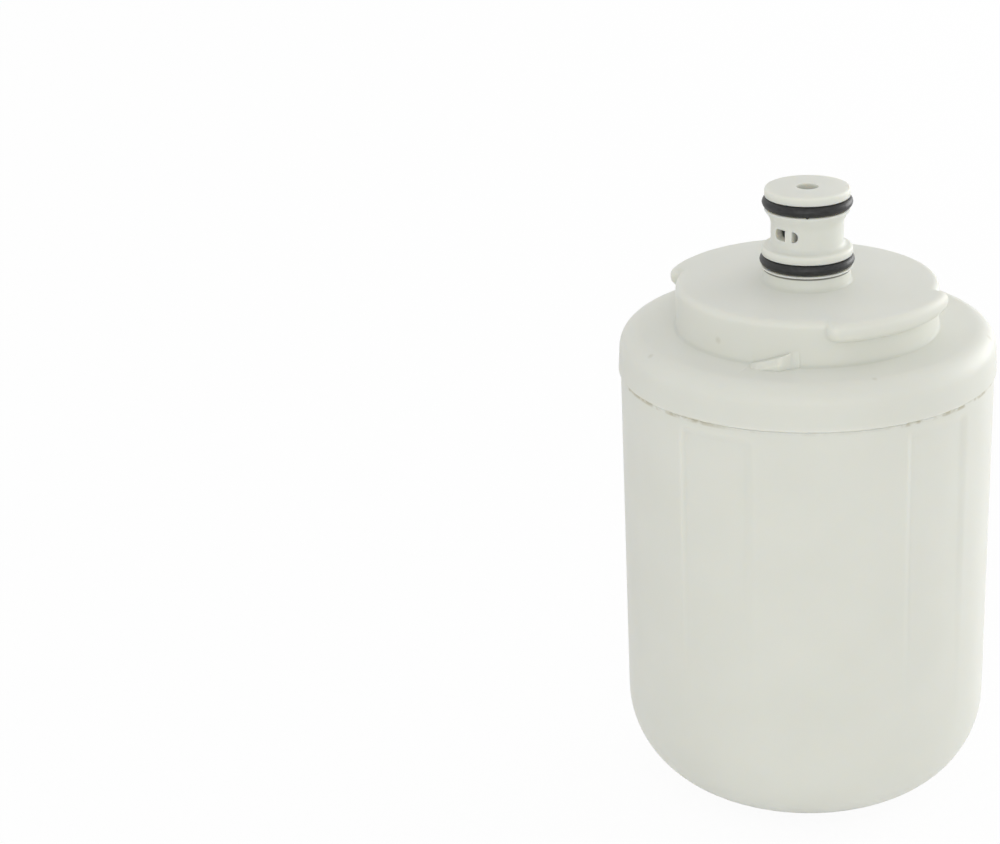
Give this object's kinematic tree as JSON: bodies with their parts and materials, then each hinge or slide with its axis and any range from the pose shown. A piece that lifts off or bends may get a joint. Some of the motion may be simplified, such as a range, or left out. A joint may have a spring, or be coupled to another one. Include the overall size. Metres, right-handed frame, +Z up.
{
  "type": "refrigerator water filter cartridge",
  "caption": "Sealed round water filter cartridge with a bayonet neck and a ported spigot with ring seals, which twists into a refrigerator's filter head",
  "frame": {"origin": "centre of the foot, on the surface that the cartridge stands on", "axes": "+Z up the cartridge's axis towards the spigot, -Y to the front, +X to the right"},
  "size_m": [0.0896, 0.0896, 0.1513],
  "materials": {
    "housing_plastic": "satin off-white moulding",
    "head_plastic": "satin off-white moulding",
    "seal_rubber": "smooth black",
    "bonded_carbon": "rough black",
    "inner_plastic": "satin natural",
    "filter_felt": "matt felt",
    "hot_melt": "cloudy amber"
  },
  "bodies": {
    "root": {"housing_bowl": "housing_plastic", "head_cap": "head_plastic", "upper_o_ring": "seal_rubber", "lower_o_ring": "seal_rubber", "nipple_o_ring": "seal_rubber", "carbon_block": "bonded_carbon", "core_tube": "inner_plastic", "top_end_cap": "inner_plastic", "bottom_end_cap": "inner_plastic", "prefilter_wrap": "filter_felt", "upper_bond_ring": "hot_melt", "lower_bond_disc": "hot_melt"}
  },
  "joints": []
}
